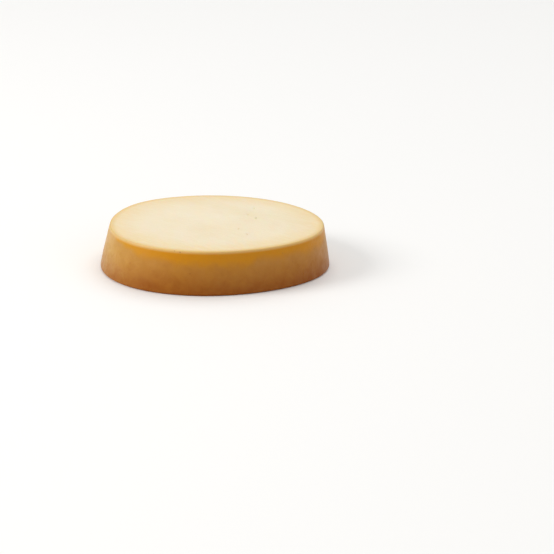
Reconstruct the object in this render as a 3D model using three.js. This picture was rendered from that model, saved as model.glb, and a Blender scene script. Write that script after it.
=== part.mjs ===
// A smoked provolone, cut across: a low round of cheese with a flat cut face on top.
// Millimetres, +Z up. The origin is under the middle of the cheese, on the face it rests on.
import {
  Group,
  LatheGeometry,
  MathUtils,
  Mesh,
  MeshStandardMaterial,
  Vector2,
} from "three";
import { mergeVertices } from "three/addons/utils/BufferGeometryUtils.js";

// The cut face is a lopsided oval. The long way is turned from +X.
const LONG_RADIUS = 81.8;
const SHORT_RADIUS = 70.7;
const LONG_WAY = MathUtils.degToRad(50.1);

// Soft lobes that hanging and pressing left round the rim: how many, how high, and where one peaks.
const LOBES = [
  { count: 3, height: 1.49, peak: MathUtils.degToRad(0.6) },
  { count: 4, height: 0.45, peak: MathUtils.degToRad(-29.5) },
  { count: 5, height: 0.21, peak: MathUtils.degToRad(3.1) },
];

// The wall leans in towards the cut, and stands nearly upright at the foot.
const HEIGHT = 29.9;
const FOOT_SPREAD = 5.7;
const WALL_CURVE = 1.15;
const FOOT_ROUND = 1.8;
const RIM_ROUND = 0.7;

// The knife left the cut face a little wavy. The waves fade out towards the rim.
const WAVE_HEIGHT = 0.35;
const WAVE_LENGTH_X = 118;
const WAVE_LENGTH_Y = 86;
const WAVE_FADE = 4;

// How finely the solid is divided.
const AROUND = 120;
const WALL_STEPS = 9;
const ROUND_STEPS = 3;
const FACE_RINGS = 4;
const SAME_POINT = 1e-3;

const MEAN_RADIUS = (LONG_RADIUS + SHORT_RADIUS) / 2;

/** Distance from the axis to the rim, in the direction of an angle. */
function rimRadius(angle) {
  const along = Math.cos(angle - LONG_WAY) / LONG_RADIUS;
  const across = Math.sin(angle - LONG_WAY) / SHORT_RADIUS;
  const oval = 1 / Math.hypot(along, across);
  return LOBES.reduce(
    (radius, lobe) =>
      radius + lobe.height * Math.cos(lobe.count * (angle - lobe.peak)),
    oval,
  );
}

/** How far a round edge falls back, at a distance from the face that it meets. */
function roundBack(distance, round) {
  if (distance >= round) return 0;
  const lift = round - distance;
  return round - Math.sqrt(round * round - lift * lift);
}

/** Radius of the wall at a height, on a cheese with its mean radius all round. */
function wallRadius(z) {
  const spread = FOOT_SPREAD * (1 - (z / HEIGHT) ** WALL_CURVE);
  const foot = roundBack(z, FOOT_ROUND);
  const rim = roundBack(HEIGHT - z, RIM_ROUND);
  return MEAN_RADIUS + spread - foot - rim;
}

/** Heights of the wall's rings, from the foot to the rim, closer together on the round edges. */
function wallHeights() {
  const heights = [];
  for (let i = 0; i < ROUND_STEPS; i++) {
    const turn = (Math.PI / 2) * (i / ROUND_STEPS);
    heights.push(FOOT_ROUND * (1 - Math.cos(turn)));
  }
  for (let i = 0; i <= WALL_STEPS; i++) {
    const share = i / WALL_STEPS;
    heights.push(MathUtils.lerp(FOOT_ROUND, HEIGHT - RIM_ROUND, share));
  }
  for (let i = 1; i <= ROUND_STEPS; i++) {
    const turn = (Math.PI / 2) * (i / ROUND_STEPS);
    heights.push(HEIGHT - RIM_ROUND * (1 - Math.sin(turn)));
  }
  return heights;
}

/** The half section: underside, wall and cut face, from axis to axis. */
function halfSection() {
  const wall = wallHeights().map((z) => new Vector2(wallRadius(z), z));
  const foot = wall[0];
  const rim = wall[wall.length - 1];
  const underside = [];
  const cutFace = [];
  for (let i = 0; i < FACE_RINGS; i++) {
    const share = i / FACE_RINGS;
    underside.push(new Vector2(foot.x * share, foot.y));
    cutFace.unshift(new Vector2(rim.x * share, rim.y));
  }
  return [...underside, ...wall, ...cutFace];
}

/** Height of the knife's waves at a point of the cut face, none at the rim. */
function knifeWave(x, y) {
  const share = Math.min(1, Math.hypot(x, y) / rimRadius(Math.atan2(y, x)));
  const fade = 1 - share ** WAVE_FADE;
  const wave =
    Math.sin((2 * Math.PI * x) / WAVE_LENGTH_X) *
    Math.cos((2 * Math.PI * y) / WAVE_LENGTH_Y);
  return WAVE_HEIGHT * fade * wave;
}

/** The round of cheese, as one closed surface. */
function cheeseGeometry() {
  const geometry = new LatheGeometry(halfSection(), AROUND);
  geometry.rotateX(Math.PI / 2);
  geometry.deleteAttribute("uv");
  geometry.deleteAttribute("normal");

  const position = geometry.getAttribute("position");
  for (let i = 0; i < position.count; i++) {
    const angle = Math.atan2(position.getY(i), position.getX(i));
    const stretch = rimRadius(angle) / MEAN_RADIUS;
    const x = position.getX(i) * stretch;
    const y = position.getY(i) * stretch;
    const z = position.getZ(i);
    const onCutFace = z > HEIGHT - SAME_POINT;
    position.setXYZ(i, x, y, onCutFace ? z + knifeWave(x, y) : z);
  }

  const merged = mergeVertices(geometry, SAME_POINT);
  merged.computeBoundingBox();
  const { min, max } = merged.boundingBox;
  merged.translate(-(min.x + max.x) / 2, -(min.y + max.y) / 2, -min.z);
  merged.computeVertexNormals();
  return merged;
}

const cheese = new Mesh(
  cheeseGeometry(),
  new MeshStandardMaterial({ color: 0xe6c27c, roughness: 0.45, metalness: 0 }),
);
cheese.name = "smoked_provolone";

const provolone = new Group();
provolone.add(cheese);

export default provolone;
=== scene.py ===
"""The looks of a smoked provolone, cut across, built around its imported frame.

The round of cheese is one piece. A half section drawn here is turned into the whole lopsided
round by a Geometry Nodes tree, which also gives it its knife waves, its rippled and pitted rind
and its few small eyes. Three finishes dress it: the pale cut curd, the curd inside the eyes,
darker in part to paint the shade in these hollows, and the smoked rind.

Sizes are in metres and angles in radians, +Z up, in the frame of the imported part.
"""

from __future__ import annotations

import logging
import math
from dataclasses import dataclass, field
from enum import Enum

import bpy
from mathutils import Matrix, Vector

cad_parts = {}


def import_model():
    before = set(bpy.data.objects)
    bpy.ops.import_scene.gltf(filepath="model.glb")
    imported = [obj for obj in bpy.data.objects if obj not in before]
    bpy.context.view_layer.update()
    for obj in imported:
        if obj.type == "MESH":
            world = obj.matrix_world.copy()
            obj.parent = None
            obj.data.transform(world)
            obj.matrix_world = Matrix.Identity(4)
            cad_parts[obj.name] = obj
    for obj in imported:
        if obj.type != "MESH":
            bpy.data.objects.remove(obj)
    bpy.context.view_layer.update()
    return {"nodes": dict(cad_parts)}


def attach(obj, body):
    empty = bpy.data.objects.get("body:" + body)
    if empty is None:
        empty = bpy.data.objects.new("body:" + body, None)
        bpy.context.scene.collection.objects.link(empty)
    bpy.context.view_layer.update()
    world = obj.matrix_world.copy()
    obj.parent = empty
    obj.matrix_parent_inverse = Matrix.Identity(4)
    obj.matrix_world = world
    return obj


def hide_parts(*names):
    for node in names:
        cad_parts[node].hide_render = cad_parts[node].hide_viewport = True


LOG = logging.getLogger("provolone")

MM = 0.001
HAIR = 0.01 * MM
SAME_POINT = 0.001 * MM
CHEESE_NODE = "smoked_provolone"
CHEESE_BODY = "root"
INSET_ATTRIBUTE = "inset"

Colour = tuple[float, float, float]
Socket = bpy.types.NodeSocket
Sockets = bpy.types.bpy_prop_collection


class Detail(Enum):
    """How finely the round is divided, by what the run is for."""

    TRIAL = 0.5
    FULL = 1.0


class Wiring:
    """Short calls that add and join nodes, in a shader tree and in a geometry tree alike."""

    def __init__(self, tree: bpy.types.NodeTree) -> None:
        """Keeps the tree that the nodes go into.

        Args:
            tree: The node tree to build in.
        """
        self.tree = tree

    def node(self, kind: str, **settings: object) -> bpy.types.Node:
        """Adds a node.

        Args:
            kind: The node's class name.
            settings: The node's own properties, such as its operation.

        Returns:
            The new node.
        """
        made = self.tree.nodes.new(kind)
        for name, value in settings.items():
            setattr(made, name, value)
        return made

    def feed(self, target: Socket, value: object) -> None:
        """Gives an input a value, or joins it to another node's output.

        Args:
            target: The input socket.
            value: An output socket, or a plain value for the input to hold.
        """
        if isinstance(value, Socket):
            self.tree.links.new(value, target)
        else:
            target.default_value = value

    def set(self, node: bpy.types.Node, **inputs: object) -> None:
        """Feeds inputs by name, with an underscore where the name has a space.

        Args:
            node: The node whose inputs are fed.
            inputs: A value or an output socket for each input.
        """
        for name, value in inputs.items():
            self.feed(node.inputs[name.replace("_", " ")], value)

    def opening(self, name: str, kind: str, way: str = "INPUT") -> bpy.types.NodeTreeInterfaceSocket:
        """Adds an input of the tree itself, or an output where way is OUTPUT."""
        return self.tree.interface.new_socket(name, in_out=way, socket_type="NodeSocket" + kind)

    def fed(self, kind: str, *values: object, **settings: object) -> bpy.types.Node:
        """Adds a node and feeds its first inputs in order.

        Args:
            kind: The node's class name.
            values: The inputs' values, as plain values or output sockets.
            settings: The node's own properties, such as its operation.

        Returns:
            The new node.
        """
        made = self.node(kind, **settings)
        for target, value in zip(made.inputs, values):
            self.feed(target, value)
        return made

    def math(self, operation: str, *values: object) -> Socket:
        """Works on numbers and gives the result's socket."""
        return self.fed("ShaderNodeMath", *values, operation=operation).outputs[0]

    def times(self, first: object, second: object) -> Socket:
        """Multiplies two numbers."""
        return self.math("MULTIPLY", first, second)

    def vector(self, operation: str, *values: object) -> Socket:
        """Works on vectors and gives the socket of the vector that results."""
        return self.fed("ShaderNodeVectorMath", *values, operation=operation).outputs[0]

    def measure(self, operation: str, *values: object) -> Socket:
        """Works on vectors and gives the socket of the number that results."""
        return self.fed("ShaderNodeVectorMath", *values, operation=operation).outputs["Value"]

    def apart(self, vector: Socket) -> Sockets:
        """Takes a vector apart and gives the sockets of its X, Y and Z by name."""
        return self.fed("ShaderNodeSeparateXYZ", vector).outputs

    def joined(self, x: object = 0.0, y: object = 0.0, z: object = 0.0) -> Socket:
        """Joins three numbers into a vector."""
        return self.fed("ShaderNodeCombineXYZ", x, y, z).outputs[0]

    def through(self, kind: str, geometry: Socket, **inputs: object) -> Socket:
        """Sends a geometry through a node.

        Args:
            kind: The node's class name.
            geometry: The geometry's socket.
            inputs: A value or an output socket for each of the node's other inputs.

        Returns:
            The socket of what comes out.
        """
        made = self.node(kind)
        self.set(made, Geometry=geometry, **inputs)
        return made.outputs[0]

    def scaled(self, vector: Socket, scale: object) -> Socket:
        """Multiplies a vector by a number.

        Args:
            vector: The vector's socket.
            scale: The number, or its socket.

        Returns:
            The scaled vector's socket.
        """
        made = self.fed("ShaderNodeVectorMath", vector, operation="SCALE")
        self.feed(made.inputs["Scale"], scale)
        return made.outputs[0]

    def ramp(self, value: Socket, low: float, high: float, start: float = 0.0, end: float = 1.0) -> Socket:
        """Maps a value smoothly from one range to another, and holds it at the ends.

        Args:
            value: The value's socket.
            low: The value at which the result is start.
            high: The value at which the result is end.
            start: The result at low.
            end: The result at high.

        Returns:
            The mapped value's socket.
        """
        made = self.node("ShaderNodeMapRange", interpolation_type="SMOOTHSTEP")
        self.set(made, Value=value, From_Min=low, From_Max=high, To_Min=start, To_Max=end)
        return made.outputs["Result"]

    def held(self, value: Socket) -> Socket:
        """Holds a value between 0 and 1."""
        return self.fed("ShaderNodeClamp", value).outputs[0]

    def swing(self, value: Socket) -> Socket:
        """Turns a value from 0 to 1 into one from -0.5 to 0.5."""
        return self.math("SUBTRACT", value, 0.5)

    def noise(self, vector: Socket, size: float, detail: float, seed: float) -> Socket:
        """Adds a noise texture with lumps of about a given size.

        Args:
            vector: Where the noise is read, in metres.
            size: The lumps' size in metres.
            detail: How many finer octaves it has.
            seed: Which of the possible patterns it is.

        Returns:
            The noise value's socket, from 0 to 1.
        """
        made = self.node("ShaderNodeTexNoise", noise_dimensions="4D")
        self.set(made, Vector=vector, W=seed, Scale=1.0 / size, Detail=detail, Roughness=0.5)
        return made.outputs["Fac"]

    def mixed(self, share: object, first: object, second: object) -> Socket:
        """Mixes two colours.

        Args:
            share: How much of the second colour there is, from 0 to 1.
            first: The first colour, as a tuple or an output socket.
            second: The second colour, as a tuple or an output socket.

        Returns:
            The mixed colour's socket.
        """
        # The node's sockets for colours share their names with those for numbers, so they go by place.
        made = self.node("ShaderNodeMix", data_type="RGBA")
        self.feed(made.inputs[0], share)
        for target, colour in ((made.inputs[6], first), (made.inputs[7], second)):
            self.feed(target, (*colour, 1.0) if isinstance(colour, tuple) else colour)
        return made.outputs[2]


@dataclass(frozen=True)
class Lobe:
    """A soft wave round the rim."""

    count: int
    height: float
    peak: float


@dataclass(frozen=True)
class Steps:
    """How finely the round is divided, at full detail."""

    around: int = 480
    underside: int = 24
    foot: int = 5
    wall: int = 26
    rim: int = 4
    face: int = 64


@dataclass(frozen=True)
class RoundForm:
    """The sizes of the cut round.

    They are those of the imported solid, but for how far in from the rim the waves fade and the
    rind's edge reaches.
    """

    long_radius: float = 81.8 * MM
    short_radius: float = 70.7 * MM
    long_way: float = math.radians(50.1)
    lobes: tuple[Lobe, ...] = (
        Lobe(3, 1.49 * MM, math.radians(0.6)),
        Lobe(4, 0.45 * MM, math.radians(-29.5)),
        Lobe(5, 0.21 * MM, math.radians(3.1)),
    )
    height: float = 29.9 * MM
    foot_spread: float = 5.7 * MM
    wall_curve: float = 1.15
    foot_round: float = 1.8 * MM
    rim_round: float = 0.7 * MM
    wave_height: float = 0.35 * MM
    wave_length_x: float = 118.0 * MM
    wave_length_y: float = 86.0 * MM
    wave_fade: float = 23.0 * MM
    rind_width: float = 1.0 * MM

    @property
    def mean_radius(self) -> float:
        """Radius of the round section that the outline then stretches."""
        return (self.long_radius + self.short_radius) / 2

    @staticmethod
    def round_back(distance: float, radius: float) -> float:
        """How far a round edge falls back.

        Args:
            distance: Distance from the face that the edge meets.
            radius: The edge's radius.

        Returns:
            The set-back, from the radius at that face to nothing where the round ends.
        """
        lift = max(radius - distance, 0.0)
        return radius - math.sqrt(radius**2 - lift**2)

    def wall_radius(self, z: float) -> float:
        """Radius of the wall at a height, before the outline stretches it.

        Args:
            z: Height above the underside.

        Returns:
            The wall's distance from the axis.
        """
        spread = self.foot_spread * (1 - (z / self.height) ** self.wall_curve)
        foot = self.round_back(z, self.foot_round)
        rim = self.round_back(self.height - z, self.rim_round)
        return self.mean_radius + spread - foot - rim

    def half_section(self, steps: Steps, detail: float) -> list[Vector]:
        """Points of the half section: underside, wall and cut face, from axis to axis.

        Args:
            steps: How many steps each stretch has at full detail.
            detail: The share of them that the flat faces and the wall get.

        Returns:
            Points with the radius as x and the height as z.
        """
        quarter = math.pi / 2
        wall_steps = round(steps.wall * detail)
        underside_rings = round(steps.underside * detail)
        face_rings = round(steps.face * detail)
        top = self.height - self.rim_round
        heights = [self.foot_round * (1 - math.cos(quarter * i / steps.foot)) for i in range(steps.foot)]
        heights += [self.foot_round + (top - self.foot_round) * i / wall_steps for i in range(wall_steps + 1)]
        heights += [top + self.rim_round * math.sin(quarter * (i + 1) / steps.rim) for i in range(steps.rim)]
        wall = [Vector((self.wall_radius(min(z, self.height)), 0.0, z)) for z in heights]
        under = [Vector((wall[0].x * i / underside_rings, 0.0, 0.0)) for i in range(underside_rings)]
        face = [Vector((wall[-1].x * i / face_rings, 0.0, self.height)) for i in range(face_rings)]
        return under + wall + face[::-1]


@dataclass(frozen=True)
class Relief:
    """What the smoke, the press and the knife left on the surface."""

    foot_fade: float = 7.2 * MM
    ripple_height: float = 0.55 * MM
    ripple_size: float = 24.0 * MM
    dimple_height: float = 0.3 * MM
    dimple_size: float = 6.5 * MM
    pit_depth: float = 0.45 * MM
    pit_spacing: float = 10.0 * MM
    pit_radius: float = 1.5 * MM
    pit_share: float = 0.5
    rim_nick: float = 0.45 * MM
    rim_nick_size: float = 4.0 * MM
    rim_nick_reach: float = 2.1 * MM
    face_lump: float = 0.22 * MM
    face_lump_size: float = 26.0 * MM
    seed: float = 3.7


@dataclass(frozen=True)
class Eyes:
    """The few small slits in the curd, on the right of the cut face.

    Slimness and depth are shares of an eye's half length. The eyes' sizes run from smallest, a share
    of the full size, to the full size.
    """

    per_square_metre: float = 1800.0
    spacing: float = 9.0 * MM
    half_length: float = 1.9 * MM
    slimness: float = 0.5
    depth: float = 0.85
    smallest: float = 0.4
    tilt: float = 0.35
    uneven: float = 0.9
    subdivisions: int = 4
    crisp_bend: float = math.radians(40)
    clear_of_rim: float = 22.0 * MM
    from_x: float = 12.0 * MM
    to_x: float = 50.0 * MM
    seed: int = 11


@dataclass(frozen=True)
class Dress:
    """The materials that the round wears."""

    curd: bpy.types.Material
    hollow: bpy.types.Material
    rind: bpy.types.Material


class RoundTree:
    """The Geometry Nodes tree that turns a half section into the dressed round."""

    def __init__(self, form: RoundForm, relief: Relief, eyes: Eyes, dress: Dress, around: int) -> None:
        """Keeps the sizes and finishes, and starts the tree with its inputs.

        Args:
            form: The round's sizes.
            relief: The surface's relief.
            eyes: The slits in the cut face.
            dress: The materials.
            around: How many steps the round has.
        """
        self.form = form
        self.relief = relief
        self.eyes = eyes
        self.dress = dress
        self.tree = bpy.data.node_groups.new("cheese_round", "GeometryNodeTree")
        self.wire = Wiring(self.tree)
        self.values: dict[str, object] = {}
        self.add_inputs(around)
        self.size: Sockets = self.wire.node("NodeGroupInput").outputs

    def add_input(self, name: str, kind: str, value: object) -> None:
        """Adds a named input of a kind and notes the value that the modifier gives it."""
        self.values[self.wire.opening(name, kind).identifier] = value

    def add_inputs(self, around: int) -> None:
        """Adds the tree's inputs and its output.

        Args:
            around: How many steps the round has.
        """
        form, relief, eyes = self.form, self.relief, self.eyes
        sizes = {
            "Long Radius": form.long_radius,
            "Short Radius": form.short_radius,
            "Long Way": form.long_way,
            "Wave Height": form.wave_height,
            "Ripple Height": relief.ripple_height,
            "Dimple Height": relief.dimple_height,
            "Pit Depth": relief.pit_depth,
            "Rim Nick": relief.rim_nick,
            "Face Lump": relief.face_lump,
            "Eyes Per Square Metre": eyes.per_square_metre,
            "Eye Half Length": eyes.half_length,
        }
        for lobe in form.lobes:
            sizes[f"Lobe {lobe.count} Height"] = lobe.height
            sizes[f"Lobe {lobe.count} Peak"] = lobe.peak
        self.wire.opening("Section", "Geometry")
        self.add_input("Around", "Int", around)
        self.add_input("Eye Seed", "Int", eyes.seed)
        for name, value in sizes.items():
            self.add_input(name, "Float", value)
        self.wire.opening("Round", "Geometry", "OUTPUT")

    def rim_radius(self, angle: Socket) -> Socket:
        """Wires the outline's rule.

        Args:
            angle: The direction's angle.

        Returns:
            The socket of the distance from the axis to the rim in that direction.
        """
        wire, size = self.wire, self.size
        turned = wire.math("SUBTRACT", angle, size["Long Way"])
        along = wire.math("DIVIDE", wire.math("COSINE", turned), size["Long Radius"])
        across = wire.math("DIVIDE", wire.math("SINE", turned), size["Short Radius"])
        squares = wire.math("MULTIPLY_ADD", across, across, wire.times(along, along))
        radius = wire.math("INVERSE_SQRT", squares)
        for lobe in self.form.lobes:
            past_peak = wire.math("SUBTRACT", angle, size[f"Lobe {lobe.count} Peak"])
            wave = wire.math("COSINE", wire.times(past_peak, float(lobe.count)))
            radius = wire.math("MULTIPLY_ADD", wave, size[f"Lobe {lobe.count} Height"], radius)
        return radius

    def place(self) -> tuple[Socket, Sockets]:
        """Reads where a point is.

        Returns:
            The position's socket, and the sockets of its X, Y and Z by name.
        """
        position = self.wire.node("GeometryNodeInputPosition").outputs[0]
        return position, self.wire.apart(position)

    def inset(self) -> Socket:
        """Wires how far inside the rim's outline a point lies.

        Returns:
            The distance's socket, negative outside the rim's outline.
        """
        wire = self.wire
        _, at = self.place()
        angle = wire.math("ARCTAN2", at["Y"], at["X"])
        reach = wire.measure("LENGTH", wire.joined(at["X"], at["Y"]))
        return wire.math("SUBTRACT", self.rim_radius(angle), reach)

    def plain_round(self, rows: int) -> Socket:
        """Wires the smooth closed round: a grid bent by the section and the outline.

        Args:
            rows: How many points the section has.

        Returns:
            The geometry's socket, with the cheese's axis over the origin.
        """
        wire = self.wire
        grid = wire.node("GeometryNodeMeshGrid")
        columns = wire.math("ADD", self.size["Around"], 1.0)
        wire.set(grid, Size_X=1.0, Size_Y=1.0, Vertices_X=columns, Vertices_Y=rows)
        position, at = self.place()
        angle = wire.times(wire.math("ADD", at["X"], 0.5), 2 * math.pi)
        row = wire.times(wire.math("ADD", at["Y"], 0.5), rows - 1.0)

        sample = wire.node("GeometryNodeSampleIndex", data_type="FLOAT_VECTOR", domain="POINT")
        wire.set(sample, Geometry=self.size["Section"], Value=position, Index=wire.math("ROUND", row))
        section = wire.apart(sample.outputs[0])
        stretch = wire.math("DIVIDE", self.rim_radius(angle), self.form.mean_radius)
        reach = wire.times(section["X"], stretch)
        bent_x = wire.times(reach, wire.math("COSINE", angle))
        bent_y = wire.times(reach, wire.math("SINE", angle))
        bent = wire.joined(bent_x, bent_y, section["Z"])
        shaped = wire.through("GeometryNodeSetPosition", grid.outputs["Mesh"], Position=bent)
        closed = wire.through("GeometryNodeMergeByDistance", shaped, Distance=SAME_POINT)
        return wire.through("GeometryNodeSetMaterial", closed, Material=self.dress.rind)

    def knife_marks(self, geometry: Socket) -> Socket:
        """Wires the waves and low lumps that the knife left on the cut face.

        Args:
            geometry: The round's socket.

        Returns:
            The waved round's socket.
        """
        wire, form = self.wire, self.form
        position, at = self.place()
        turn_x = wire.times(at["X"], 2 * math.pi / form.wave_length_x)
        turn_y = wire.times(at["Y"], 2 * math.pi / form.wave_length_y)
        wave = wire.times(wire.math("SINE", turn_x), wire.math("COSINE", turn_y))
        wave = wire.times(wave, self.size["Wave Height"])
        fade = wire.ramp(self.inset(), form.rim_round, form.wave_fade)
        lump = wire.swing(wire.noise(position, self.relief.face_lump_size, 3.0, self.relief.seed))
        lift = wire.math("MULTIPLY_ADD", lump, self.size["Face Lump"], wave)
        offset = wire.joined(z=wire.times(lift, fade))
        on_face = wire.math("GREATER_THAN", at["Z"], form.height - HAIR)
        return wire.through("GeometryNodeSetPosition", geometry, Selection=on_face, Offset=offset)

    def rind_relief(self, geometry: Socket) -> Socket:
        """Wires the rind's ripples, dimples, pits and nicked rim.

        Args:
            geometry: The round's socket.

        Returns:
            The rippled round's socket.
        """
        wire, form, relief, size = self.wire, self.form, self.relief, self.size
        position, at = self.place()
        above_foot = wire.ramp(at["Z"], form.foot_round, relief.foot_fade)
        ripple = wire.swing(wire.noise(position, relief.ripple_size, 1.0, relief.seed + 1))
        dimple = wire.swing(wire.noise(position, relief.dimple_size, 2.0, relief.seed + 2))
        nick = wire.swing(wire.noise(position, relief.rim_nick_size, 2.0, relief.seed + 3))
        near_rim = wire.ramp(at["Z"], form.height - relief.rim_nick_reach, form.height - form.rim_round)

        cells = wire.node("ShaderNodeTexVoronoi", voronoi_dimensions="4D")
        wire.set(cells, Vector=position, W=relief.seed, Scale=1.0 / relief.pit_spacing)
        middle = wire.ramp(cells.outputs["Distance"], 0.0, relief.pit_radius / relief.pit_spacing, 1.0, 0.0)
        chance = wire.apart(cells.outputs["Color"])["X"]
        pit = wire.times(middle, wire.math("LESS_THAN", chance, relief.pit_share))

        out = wire.times(ripple, size["Ripple Height"])
        out = wire.math("MULTIPLY_ADD", dimple, size["Dimple Height"], out)
        out = wire.math("SUBTRACT", out, wire.times(pit, size["Pit Depth"]))
        out = wire.math("MULTIPLY_ADD", wire.times(nick, near_rim), size["Rim Nick"], out)
        outward = wire.vector("NORMALIZE", wire.joined(at["X"], at["Y"]))
        offset = wire.scaled(outward, wire.times(out, above_foot))
        on_wall = wire.math("GREATER_THAN", at["Z"], form.foot_round / 2)
        chosen = wire.times(on_wall, wire.math("LESS_THAN", self.inset(), form.rim_round + HAIR))
        return wire.through("GeometryNodeSetPosition", geometry, Selection=chosen, Offset=offset)

    def cut_face(self, geometry: Socket) -> Socket:
        """Wires the curd's finish onto the cut face, in from the rounded rim.

        Args:
            geometry: The round's socket.

        Returns:
            The socket of the round in rind and curd.
        """
        wire, form = self.wire, self.form
        _, at = self.place()
        high = wire.math("GREATER_THAN", at["Z"], form.height / 2)
        chosen = wire.times(high, wire.math("GREATER_THAN", self.inset(), form.rind_width))
        return wire.through("GeometryNodeSetMaterial", geometry, Selection=chosen, Material=self.dress.curd)

    def eye_balls(self, points: Socket) -> Socket:
        """Wires the uneven balls that the slits are cut with.

        Args:
            points: The socket of the slits' middles.

        Returns:
            The balls' socket.
        """
        wire, eyes, size = self.wire, self.eyes, self.size
        ball = wire.node("GeometryNodeMeshIcoSphere")
        wire.set(ball, Radius=size["Eye Half Length"], Subdivisions=eyes.subdivisions)
        position, _ = self.place()
        bulge = wire.swing(wire.noise(position, eyes.half_length, 1.0, self.relief.seed))
        swell = wire.scaled(position, wire.times(bulge, eyes.uneven))
        bulged = wire.through("GeometryNodeSetPosition", ball.outputs["Mesh"], Offset=swell)

        # The two nodes' sockets for vectors and for numbers share their names, so they go by place.
        spin = wire.node("FunctionNodeRandomValue", data_type="FLOAT_VECTOR")
        wire.set(spin, Seed=size["Eye Seed"])
        wire.feed(spin.inputs[0], (-eyes.tilt, -eyes.tilt, 0.0))
        wire.feed(spin.inputs[1], (eyes.tilt, eyes.tilt, 2 * math.pi))
        grow = wire.node("FunctionNodeRandomValue", data_type="FLOAT")
        wire.set(grow, Seed=wire.math("ADD", size["Eye Seed"], 1.0))
        wire.feed(grow.inputs[2], eyes.smallest)
        wire.feed(grow.inputs[3], 1.0)
        spread = wire.scaled(wire.joined(1.0, eyes.slimness, eyes.depth), grow.outputs[1])
        placed = wire.node("GeometryNodeInstanceOnPoints")
        wire.set(placed, Points=points, Instance=bulged, Rotation=spin.outputs[0], Scale=spread)
        whole = wire.through("GeometryNodeRealizeInstances", placed.outputs[0])
        return wire.through("GeometryNodeSetMaterial", whole, Material=self.dress.hollow)

    def slits(self, geometry: Socket) -> Socket:
        """Wires the small slits cut out of the curd.

        Args:
            geometry: The round's socket.

        Returns:
            The socket of the round with its slits.
        """
        wire, eyes = self.wire, self.eyes
        _, at = self.place()
        zone = wire.math("GREATER_THAN", at["Z"], self.form.height - self.form.rim_round)
        zone = wire.times(zone, wire.math("GREATER_THAN", self.inset(), eyes.clear_of_rim))
        zone = wire.times(zone, wire.math("GREATER_THAN", at["X"], eyes.from_x))
        zone = wire.times(zone, wire.math("LESS_THAN", at["X"], eyes.to_x))
        spots = wire.node("GeometryNodeDistributePointsOnFaces", distribute_method="POISSON")
        wire.set(spots, Mesh=geometry, Selection=zone, Seed=self.size["Eye Seed"])
        wire.set(spots, Distance_Min=eyes.spacing, Density_Max=self.size["Eyes Per Square Metre"])
        cut = wire.node("GeometryNodeMeshBoolean", operation="DIFFERENCE", solver="EXACT")
        wire.set(cut, Mesh_1=geometry, Mesh_2=self.eye_balls(spots.outputs["Points"]))
        return cut.outputs["Mesh"]

    def finished(self, geometry: Socket, middle: Socket) -> Socket:
        """Wires the inset attribute, smooth shading that stays crisp round the eyes, and the middle.

        Args:
            geometry: The round's socket.
            middle: The socket of the move that brings the round's middle over the origin.

        Returns:
            The finished round's socket.
        """
        wire = self.wire
        noted = wire.node("GeometryNodeStoreNamedAttribute", data_type="FLOAT", domain="POINT")
        wire.set(noted, Geometry=geometry, Name=INSET_ATTRIBUTE, Value=self.inset())
        smooth = wire.through("GeometryNodeSetShadeSmooth", noted.outputs[0])
        bend = wire.node("GeometryNodeInputMeshEdgeAngle").outputs["Unsigned Angle"]
        sharp = wire.math("GREATER_THAN", bend, self.eyes.crisp_bend)
        crisp = wire.node("GeometryNodeSetShadeSmooth", domain="EDGE")
        wire.set(crisp, Geometry=smooth, Selection=sharp, Shade_Smooth=False)
        centred = wire.through("GeometryNodeSetPosition", crisp.outputs[0], Offset=middle)
        return wire.through("GeometryNodeRealizeInstances", centred)

    def build(self, rows: int) -> None:
        """Builds the whole tree.

        Args:
            rows: How many points the section has.
        """
        wire = self.wire
        geometry = self.plain_round(rows)
        box = wire.node("GeometryNodeBoundBox")
        wire.set(box, Geometry=geometry)
        corners = wire.vector("ADD", box.outputs["Min"], box.outputs["Max"])
        middle = wire.vector("MULTIPLY", corners, (-0.5, -0.5, 0.0))
        for shaping in (self.knife_marks, self.rind_relief, self.cut_face, self.slits):
            geometry = shaping(geometry)
        wire.feed(wire.node("NodeGroupOutput").inputs[0], self.finished(geometry, middle))


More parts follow.
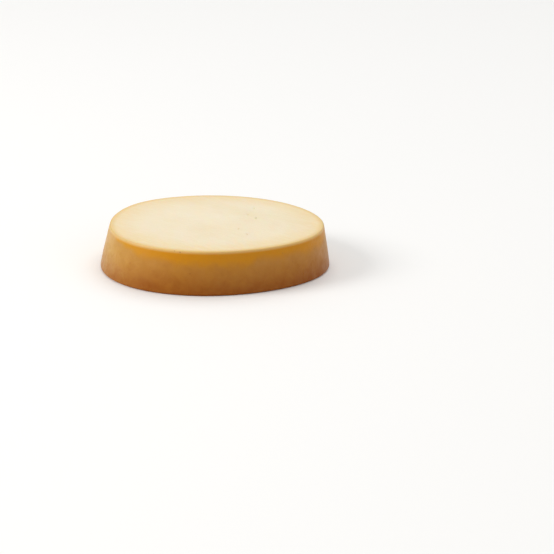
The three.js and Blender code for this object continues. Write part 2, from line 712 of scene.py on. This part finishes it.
class FinishGroups:
    """Shader node groups that more than one finish uses."""

    def __init__(self) -> None:
        """Builds each group once."""
        self.mottle = self.build_mottle()
        self.grain = self.build_grain()

    @staticmethod
    def build_mottle() -> bpy.types.NodeTree:
        """Builds the group for soft clouds of colour.

        Returns:
            The group, which puts out a mask from 0 to 1.
        """
        tree = bpy.data.node_groups.new("soft_mottle", "ShaderNodeTree")
        wire = Wiring(tree)
        wire.opening("Vector", "Vector")
        for name in ("Clouds Per Metre", "Contrast", "Pattern"):
            wire.opening(name, "Float")
        wire.opening("Mask", "Float", "OUTPUT")
        given = wire.node("NodeGroupInput")
        clouds = wire.node("ShaderNodeTexNoise", noise_dimensions="4D")
        wire.set(clouds, Vector=given.outputs["Vector"], W=given.outputs["Pattern"])
        wire.set(clouds, Scale=given.outputs["Clouds Per Metre"], Detail=4.0, Roughness=0.55, Distortion=0.4)
        spread = wire.math("MULTIPLY_ADD", wire.swing(clouds.outputs["Fac"]), given.outputs["Contrast"], 0.5)
        result = wire.node("NodeGroupOutput")
        wire.feed(result.inputs["Mask"], wire.held(spread))
        return tree

    @staticmethod
    def build_grain() -> bpy.types.NodeTree:
        """Builds the group for the fine unevenness of curd and rind.

        Returns:
            The group, which puts out a height for bump and a mask of tiny pores.
        """
        tree = bpy.data.node_groups.new("curd_grain", "ShaderNodeTree")
        wire = Wiring(tree)
        wire.opening("Vector", "Vector")
        for name in ("Grains Per Metre", "Pores Per Metre", "Pore Size", "Pore Share", "Pore Depth"):
            wire.opening(name, "Float")
        wire.opening("Height", "Float", "OUTPUT")
        wire.opening("Pores", "Float", "OUTPUT")
        given = wire.node("NodeGroupInput")
        grain = wire.node("ShaderNodeTexNoise")
        wire.set(grain, Vector=given.outputs["Vector"], Scale=given.outputs["Grains Per Metre"], Detail=3.0)
        cells = wire.node("ShaderNodeTexVoronoi")
        wire.set(cells, Vector=given.outputs["Vector"], Scale=given.outputs["Pores Per Metre"])
        edge = wire.node("ShaderNodeMapRange", interpolation_type="SMOOTHSTEP")
        wire.set(edge, Value=cells.outputs["Distance"], From_Min=0.0, From_Max=given.outputs["Pore Size"])
        wire.set(edge, To_Min=1.0, To_Max=0.0)
        chance = wire.fed("ShaderNodeSeparateColor", cells.outputs["Color"]).outputs["Red"]
        few = wire.math("LESS_THAN", chance, given.outputs["Pore Share"])
        pores = wire.times(edge.outputs["Result"], few)
        sunk = wire.times(pores, given.outputs["Pore Depth"])
        height = wire.math("SUBTRACT", grain.outputs["Fac"], sunk)
        result = wire.node("NodeGroupOutput")
        wire.feed(result.inputs["Height"], height)
        wire.feed(result.inputs["Pores"], pores)
        return tree


class Finish:
    """A material with the two shared groups at hand."""

    PORE_SHARE = 0.28
    PORE_DEPTH = 1.5

    def __init__(self, name: str, groups: FinishGroups) -> None:
        """Starts the material.

        Args:
            name: The material's name.
            groups: The shared node groups.
        """
        self.material = bpy.data.materials.new(name)
        self.material.use_nodes = True
        self.material.node_tree.nodes.clear()
        self.groups = groups
        self.wire = Wiring(self.material.node_tree)
        self.where = self.wire.node("ShaderNodeTexCoord").outputs["Object"]

    def mottle(self, size: float, contrast: float, pattern: float) -> Socket:
        """Places the soft mottle.

        Args:
            size: The clouds' size in metres.
            contrast: How far apart the clouds' values are.
            pattern: Which of the possible patterns it is.

        Returns:
            The mask's socket.
        """
        made = self.wire.node("ShaderNodeGroup", node_tree=self.groups.mottle)
        self.wire.set(made, Vector=self.where, Clouds_Per_Metre=1.0 / size)
        self.wire.set(made, Contrast=contrast, Pattern=pattern)
        return made.outputs["Mask"]

    def grain(self, size: float, pore_spacing: float, pore_size: float) -> bpy.types.Node:
        """Places the curd grain.

        Args:
            size: The grains' size in metres.
            pore_spacing: The distance between pores in metres.
            pore_size: A pore's radius as a share of that distance.

        Returns:
            The group's node.
        """
        made = self.wire.node("ShaderNodeGroup", node_tree=self.groups.grain)
        self.wire.set(made, Vector=self.where, Grains_Per_Metre=1.0 / size)
        self.wire.set(made, Pores_Per_Metre=1.0 / pore_spacing, Pore_Size=pore_size)
        self.wire.set(made, Pore_Share=self.PORE_SHARE, Pore_Depth=self.PORE_DEPTH)
        return made

    def stretched(self, turn: float, lumps: tuple[float, float, float], twist: float) -> Socket:
        """Places a noise drawn out in one direction, like pulled curd or the drag of a knife.

        Args:
            turn: The pattern's turn about +Z.
            lumps: How many lumps a metre holds along each turned axis.
            twist: How far the lines bend.

        Returns:
            The noise value's socket, from 0 to 1.
        """
        drawn = self.wire.node("ShaderNodeMapping", vector_type="TEXTURE")
        self.wire.set(drawn, Vector=self.where, Rotation=(0.0, 0.0, turn))
        spread = self.wire.vector("MULTIPLY", drawn.outputs[0], lumps)
        made = self.wire.node("ShaderNodeTexNoise")
        self.wire.set(made, Vector=spread, Scale=1.0, Detail=3.0, Distortion=twist)
        return made.outputs["Fac"]

    def bump(self, height: Socket, depth: float) -> Socket:
        """Turns a height into a bumped normal.

        Args:
            height: The height's socket, from 0 to about 1.
            depth: What a height of 1 stands for, in metres.

        Returns:
            The normal's socket.
        """
        made = self.wire.node("ShaderNodeBump")
        self.wire.set(made, Strength=1.0, Distance=depth, Height=height)
        return made.outputs["Normal"]

    def surface(self, colour: Socket, roughness: Socket, normal: Socket, **constants: object) -> None:
        """Ends the material in its Principled shader.

        Args:
            colour: The base colour's socket.
            roughness: The roughness's socket.
            normal: The normal's socket.
            constants: Values set on the shader's own sockets.
        """
        shader = self.wire.node("ShaderNodeBsdfPrincipled")
        self.wire.set(shader, Base_Color=colour, Roughness=roughness, Normal=normal, **constants)
        result = self.wire.node("ShaderNodeOutputMaterial")
        self.wire.feed(result.inputs["Surface"], shader.outputs[0])


@dataclass(frozen=True)
class CutFaceFinish:
    """The pale curd where the knife went through."""

    cream: Colour = (0.86, 0.725, 0.475)
    milk: Colour = (0.905, 0.80, 0.605)
    butter: Colour = (0.86, 0.66, 0.34)
    rind_edge: Colour = (0.79, 0.56, 0.22)
    cloud_size: float = 34 * MM
    cloud_contrast: float = 2.2
    cloud_pattern: float = 1.3
    butter_reach: float = 30 * MM
    butter_share: float = 0.8
    rind_edge_reach: float = 5.5 * MM
    pull_turn: float = math.radians(-38)
    pulls_per_metre: tuple[float, float, float] = (55.0, 330.0, 55.0)
    pull_twist: float = 1.6
    pull_from: float = 0.35
    pull_to: float = 0.75
    pull_share: float = 0.4
    pull_depth: float = 2.0
    drag_turn: float = math.radians(24)
    drags_per_metre: tuple[float, float, float] = (40.0, 900.0, 1.0)
    drag_from: float = 0.3
    drag_to: float = 0.7
    drag_depth: float = 0.8
    grain_size: float = 1.1 * MM
    grain_depth: float = 0.08 * MM
    pore_spacing: float = 5 * MM
    pore_size: float = 0.09
    smooth: float = 0.42
    dull: float = 0.52

    def make(self, groups: FinishGroups) -> bpy.types.Material:
        """Builds the material.

        Args:
            groups: The shared node groups.

        Returns:
            The finished material.
        """
        finish = Finish("cut_curd", groups)
        wire = finish.wire
        inset = wire.node("ShaderNodeAttribute", attribute_name=INSET_ATTRIBUTE).outputs["Fac"]
        clouds = finish.mottle(self.cloud_size, self.cloud_contrast, self.cloud_pattern)
        colour = wire.mixed(clouds, self.cream, self.milk)
        butter = wire.ramp(inset, 0.0, self.butter_reach, self.butter_share, 0.0)
        colour = wire.mixed(butter, colour, self.butter)
        pulled = finish.stretched(self.pull_turn, self.pulls_per_metre, self.pull_twist)
        fibres = wire.ramp(pulled, self.pull_from, self.pull_to, 0.0, self.pull_share)
        colour = wire.mixed(fibres, colour, self.milk)
        edge = wire.ramp(inset, 0.0, self.rind_edge_reach, 1.0, 0.0)
        colour = wire.mixed(edge, colour, self.rind_edge)

        grain = finish.grain(self.grain_size, self.pore_spacing, self.pore_size)
        drags = finish.stretched(self.drag_turn, self.drags_per_metre, 0.0)
        height = wire.math("MULTIPLY_ADD", drags, self.drag_depth, grain.outputs["Height"])
        height = wire.math("MULTIPLY_ADD", pulled, self.pull_depth, height)
        roughness = wire.ramp(drags, self.drag_from, self.drag_to, self.smooth, self.dull)
        finish.surface(
            colour,
            roughness,
            finish.bump(height, self.grain_depth),
            Subsurface_Weight=0.35,
            Subsurface_Radius=(1.0, 0.55, 0.22),
            Subsurface_Scale=6 * MM,
            Specular_IOR_Level=0.4,
        )
        return finish.material


@dataclass(frozen=True)
class HollowFinish:
    """The moist curd inside the eyes, darker than the cut face in part to paint the shade in these hollows.
    """

    # Painted shade: deep and shallow are darker than the cut curd, partly standing for the shade inside the
    # eyes.
    deep: Colour = (0.66, 0.49, 0.22)
    shallow: Colour = (0.80, 0.65, 0.36)
    patch_size: float = 1.5 * MM
    patch_contrast: float = 2.5
    patch_pattern: float = 3.1
    grain_size: float = 0.5 * MM
    grain_depth: float = 0.04 * MM
    pore_spacing: float = 3 * MM
    pore_size: float = 0.1
    smooth: float = 0.3
    dull: float = 0.4

    def make(self, groups: FinishGroups) -> bpy.types.Material:
        """Builds the material.

        Args:
            groups: The shared node groups.

        Returns:
            The finished material.
        """
        finish = Finish("eye_curd", groups)
        patches = finish.mottle(self.patch_size, self.patch_contrast, self.patch_pattern)
        grain = finish.grain(self.grain_size, self.pore_spacing, self.pore_size)
        finish.surface(
            finish.wire.mixed(patches, self.deep, self.shallow),
            finish.wire.ramp(patches, 0.0, 1.0, self.smooth, self.dull),
            finish.bump(grain.outputs["Height"], self.grain_depth),
            Subsurface_Weight=0.1,
            Subsurface_Radius=(1.0, 0.6, 0.3),
            Subsurface_Scale=1 * MM,
            Specular_IOR_Level=0.4,
        )
        return finish.material


@dataclass(frozen=True)
class RindFinish:
    """The smoked rind: a painted amber glow under the rim, tan below it and browner at the foot.

    One side is partly smokier and partly painted shade: the amber reaches deeper and the tan is redder.
    """

    rim_height: float
    pale_lip: Colour = (0.69, 0.475, 0.195)
    amber_lip: Colour = (0.77, 0.52, 0.20)
    # Yellow and orange amber paint the glow of light coming through the rind from the cut face.
    yellow_amber: Colour = (0.61, 0.29, 0.014)
    orange_amber: Colour = (0.61, 0.245, 0.003)
    tan: Colour = (0.515, 0.266, 0.045)
    ochre: Colour = (0.60, 0.35, 0.095)
    # Russet is partly painted shade and warm bounced light on the shaded side of the rind.
    russet: Colour = (0.45, 0.152, 0.005)
    # Smoke is the colour of the real specks and stains, and of the painted shade towards the foot.
    smoke: Colour = (0.31, 0.085, 0.001)
    # This side is partly smokier and partly painted as shaded, with warm bounced light.
    smoky_shaded_side: tuple[float, float, float] = (0.5, -0.87, 0.0)
    smoky_shaded_from: float = -6 * MM
    smoky_shaded_to: float = 60 * MM
    lip_reach: float = 2.6 * MM
    thin_amber: float = 2.0 * MM
    deep_amber: float = 12.5 * MM
    # Browner towards the foot: partly smoke, partly painted shade and warm bounced light.
    smoke_and_shade_from: float = 8.0 * MM
    smoke_and_shade_to: float = 32.0 * MM
    haze: float = 4.5 * MM
    russet_share: float = 0.65
    smoke_and_shade_share: float = 0.7
    amber_core: float = 0.35
    cloud_size: float = 17 * MM
    cloud_contrast: float = 2.5
    cloud_pattern: float = 2.1
    blotch_size: float = 6 * MM
    blotch_contrast: float = 2.4
    blotch_pattern: float = 7.4
    blotch_share: float = 0.3
    grain_size: float = 1.8 * MM
    grain_depth: float = 0.16 * MM
    speck_spacing: float = 3.8 * MM
    speck_size: float = 0.15
    speck_share: float = 0.85
    smooth: float = 0.34
    dull: float = 0.5

    def make(self, groups: FinishGroups) -> bpy.types.Material:
        """Builds the material.

        Args:
            groups: The shared node groups.

        Returns:
            The finished material.
        """
        finish = Finish("smoked_rind", groups)
        wire = finish.wire
        below_rim = wire.math("SUBTRACT", self.rim_height, wire.apart(finish.where)["Z"])
        clouds = finish.mottle(self.cloud_size, self.cloud_contrast, self.cloud_pattern)
        blotches = finish.mottle(self.blotch_size, self.blotch_contrast, self.blotch_pattern)
        # Painted shade: towards one side the rind gets redder and deeper amber, partly smoke, partly painted
        # shade and warm bounce.
        toward = wire.measure("DOT_PRODUCT", finish.where, self.smoky_shaded_side)
        smoky_and_shaded = wire.ramp(toward, self.smoky_shaded_from, self.smoky_shaded_to)
        depth = wire.math("MULTIPLY_ADD", wire.swing(clouds), self.haze, below_rim)

        colour = wire.mixed(clouds, self.tan, self.ochre)
        colour = wire.mixed(wire.times(smoky_and_shaded, self.russet_share), colour, self.russet)
        # Painted shade: the rind darkens towards the foot, partly smoke and partly painted shade and warm
        # bounce.
        share = wire.math("MULTIPLY_ADD", smoky_and_shaded, 1.0 - self.smoke_and_shade_share, self.smoke_and_shade_share)
        low = wire.times(wire.ramp(depth, self.smoke_and_shade_from, self.smoke_and_shade_to), share)
        stained_and_shaded = wire.math("MULTIPLY_ADD", wire.swing(blotches), self.blotch_share, low)
        colour = wire.mixed(wire.held(stained_and_shaded), colour, self.smoke)
        # Painted glow: amber under the rim stands in for light shining through the rind from the cut face.
        reach = wire.math("MULTIPLY_ADD", smoky_and_shaded, self.deep_amber - self.thin_amber, self.thin_amber)
        painted_glow_band = wire.ramp(wire.math("DIVIDE", depth, reach), self.amber_core, 1.0, 1.0, 0.0)
        colour = wire.mixed(painted_glow_band, colour, wire.mixed(smoky_and_shaded, self.yellow_amber, self.orange_amber))
        lip = wire.mixed(smoky_and_shaded, self.pale_lip, self.amber_lip)
        colour = wire.mixed(wire.ramp(below_rim, 0.0, self.lip_reach, 1.0, 0.0), colour, lip)

        grain = finish.grain(self.grain_size, self.speck_spacing, self.speck_size)
        specks = wire.times(grain.outputs["Pores"], self.speck_share)
        colour = wire.mixed(specks, colour, self.smoke)
        roughness = wire.ramp(blotches, 0.0, 1.0, self.smooth, self.dull)
        finish.surface(
            colour,
            roughness,
            finish.bump(grain.outputs["Height"], self.grain_depth),
            Subsurface_Weight=0.2,
            Subsurface_Radius=(1.0, 0.45, 0.12),
            Subsurface_Scale=3 * MM,
            Specular_IOR_Level=0.2,
        )
        return finish.material


@dataclass
class SmokedProvolone:
    """The cut round of cheese."""

    form: RoundForm = field(default_factory=RoundForm)
    relief: Relief = field(default_factory=Relief)
    eyes: Eyes = field(default_factory=Eyes)
    steps: Steps = field(default_factory=Steps)

    @staticmethod
    def section_object(points: list[Vector]) -> bpy.types.Object:
        """Draws the half section as a line of edges.

        Args:
            points: The section's points in order.

        Returns:
            The object that holds it.
        """
        mesh = bpy.data.meshes.new("half_section")
        edges = [(i, i + 1) for i in range(len(points) - 1)]
        mesh.from_pydata(points, edges, [])
        section = bpy.data.objects.new("half_section", mesh)
        bpy.context.scene.collection.objects.link(section)
        return section

    @staticmethod
    def drop_bare_slots(mesh: bpy.types.Mesh) -> None:
        """Removes the mesh's empty material slots, and keeps each face's finish.

        Args:
            mesh: The mesh to tidy.
        """
        finishes = list(mesh.materials)
        kept = [finish for finish in finishes if finish is not None]
        places = [kept.index(finish) if finish is not None else 0 for finish in finishes]
        faces = [places[face.material_index] for face in mesh.polygons]
        mesh.materials.clear()
        for finish in kept:
            mesh.materials.append(finish)
        mesh.polygons.foreach_set("material_index", faces)

    def make(self, groups: FinishGroups, detail: Detail) -> bpy.types.Object:
        """Builds the round and dresses it.

        Args:
            groups: The shared node groups.
            detail: How finely it is divided.

        Returns:
            The finished piece, a plain mesh at the origin.
        """
        points = self.form.half_section(self.steps, detail.value)
        section = self.section_object(points)
        dress = Dress(
            curd=CutFaceFinish().make(groups),
            hollow=HollowFinish().make(groups),
            rind=RindFinish(rim_height=self.form.height).make(groups),
        )
        around = round(self.steps.around * detail.value)
        tree = RoundTree(self.form, self.relief, self.eyes, dress, around)
        tree.build(len(points))
        modifier = section.modifiers.new("cheese_round", "NODES")
        modifier.node_group = tree.tree
        for identifier, value in tree.values.items():
            modifier[identifier] = value

        graph = bpy.context.evaluated_depsgraph_get()
        mesh = bpy.data.meshes.new_from_object(section.evaluated_get(graph), depsgraph=graph)
        mesh.name = "provolone_round"
        self.drop_bare_slots(mesh)
        bpy.data.objects.remove(section)
        piece = bpy.data.objects.new("provolone_round", mesh)
        bpy.context.scene.collection.objects.link(piece)
        LOG.info("%s: %d points, %d faces", piece.name, len(mesh.vertices), len(mesh.polygons))
        return piece

    def fit_to_frame(self, piece: bpy.types.Object) -> None:
        """Puts the piece in the place of its solid.

        Args:
            piece: The finished round.
        """
        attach(piece, CHEESE_BODY)
        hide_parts(CHEESE_NODE)


@dataclass(frozen=True)
class Softbox:
    """An area light that looks at the cheese."""

    name: str
    place: tuple[float, float, float]
    width: float
    depth: float
    power: float
    tint: Colour = (1.0, 1.0, 1.0)

    def make(self) -> bpy.types.Object:
        """Adds the light.

        Returns:
            The light's object.
        """
        light = bpy.data.lights.new(self.name, "AREA")
        light.shape = "RECTANGLE"
        light.size = self.width
        light.size_y = self.depth
        light.energy = self.power
        light.color = self.tint
        lamp = bpy.data.objects.new(self.name, light)
        lamp.location = self.place
        lamp.rotation_euler = (-Vector(self.place)).to_track_quat("-Z", "Y").to_euler()
        bpy.context.scene.collection.objects.link(lamp)
        return lamp


@dataclass(frozen=True)
class Studio:
    """The pale floor, the soft light and the photograph's viewpoint."""

    floor_size: float = 12.0
    floor_colour: Colour = (0.96, 0.96, 0.955)
    floor_roughness: float = 0.7
    surround: Colour = (1.0, 0.99, 0.97)
    surround_strength: float = 0.45
    softboxes: tuple[Softbox, ...] = (
        Softbox("key", (-1.9, -0.7, 1.2), 1.0, 0.9, 28.0, (1.0, 0.98, 0.95)),
        Softbox("overhead", (0.3, 1.5, 3.2), 3.5, 3.5, 62.0),
        Softbox("fill", (1.6, -1.3, 0.9), 1.4, 1.0, 3.0),
    )
    eye: tuple[float, float, float] = (43.7 * MM, -1501.1 * MM, 437.9 * MM)
    look_down: float = math.radians(16.54)
    lean: float = math.radians(3.05)
    lens: float = 142.96
    sensor: float = 36.0
    nearest: float = 0.05

    def make_floor(self) -> None:
        """Lays the floor."""
        half = self.floor_size / 2
        mesh = bpy.data.meshes.new("floor")
        corners = [(-half, -half, 0.0), (half, -half, 0.0), (half, half, 0.0), (-half, half, 0.0)]
        mesh.from_pydata(corners, [], [(0, 1, 2, 3)])
        material = bpy.data.materials.new("pale_floor")
        material.use_nodes = True
        shader = material.node_tree.nodes["Principled BSDF"]
        shader.inputs["Base Color"].default_value = (*self.floor_colour, 1.0)
        shader.inputs["Roughness"].default_value = self.floor_roughness
        mesh.materials.append(material)
        floor = bpy.data.objects.new("floor", mesh)
        bpy.context.scene.collection.objects.link(floor)

    def make_surround(self) -> None:
        """Lights the scene from all round."""
        world = bpy.data.worlds.new("surround")
        world.use_nodes = True
        wire = Wiring(world.node_tree)
        background = world.node_tree.nodes["Background"]
        wire.set(background, Color=(*self.surround, 1.0), Strength=self.surround_strength)
        bpy.context.scene.world = world

    def make_camera(self) -> None:
        """Sets up the camera where the photograph was taken from."""
        data = bpy.data.cameras.new("viewpoint")
        data.lens = self.lens
        data.sensor_width = self.sensor
        data.clip_start = self.nearest
        camera = bpy.data.objects.new("viewpoint", data)
        tilt = Matrix.Rotation(math.pi / 2 - self.look_down, 4, "X")
        lean = Matrix.Rotation(self.lean, 4, "Z")
        camera.matrix_world = Matrix.Translation(self.eye) @ tilt @ lean
        bpy.context.scene.collection.objects.link(camera)
        bpy.context.scene.camera = camera

    def make(self) -> None:
        """Builds the whole studio."""
        self.make_camera()
        self.make_floor()
        self.make_surround()
        for softbox in self.softboxes:
            lamp = softbox.make()
            LOG.info("light %s, %.0f W", lamp.name, softbox.power)
        bpy.context.scene.view_settings.view_transform = "Standard"


def main() -> None:
    """Builds the cheese and its studio, and logs the frame's nodes and the round's counts."""
    logging.basicConfig(level=logging.INFO, format="%(name)s: %(message)s")
    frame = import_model()
    LOG.info("frame nodes: %s", sorted(frame["nodes"]))
    detail = Detail.FULL
    cheese = SmokedProvolone()
    piece = cheese.make(FinishGroups(), detail)
    cheese.fit_to_frame(piece)
    Studio().make()


if __name__ == "__main__":
    main()
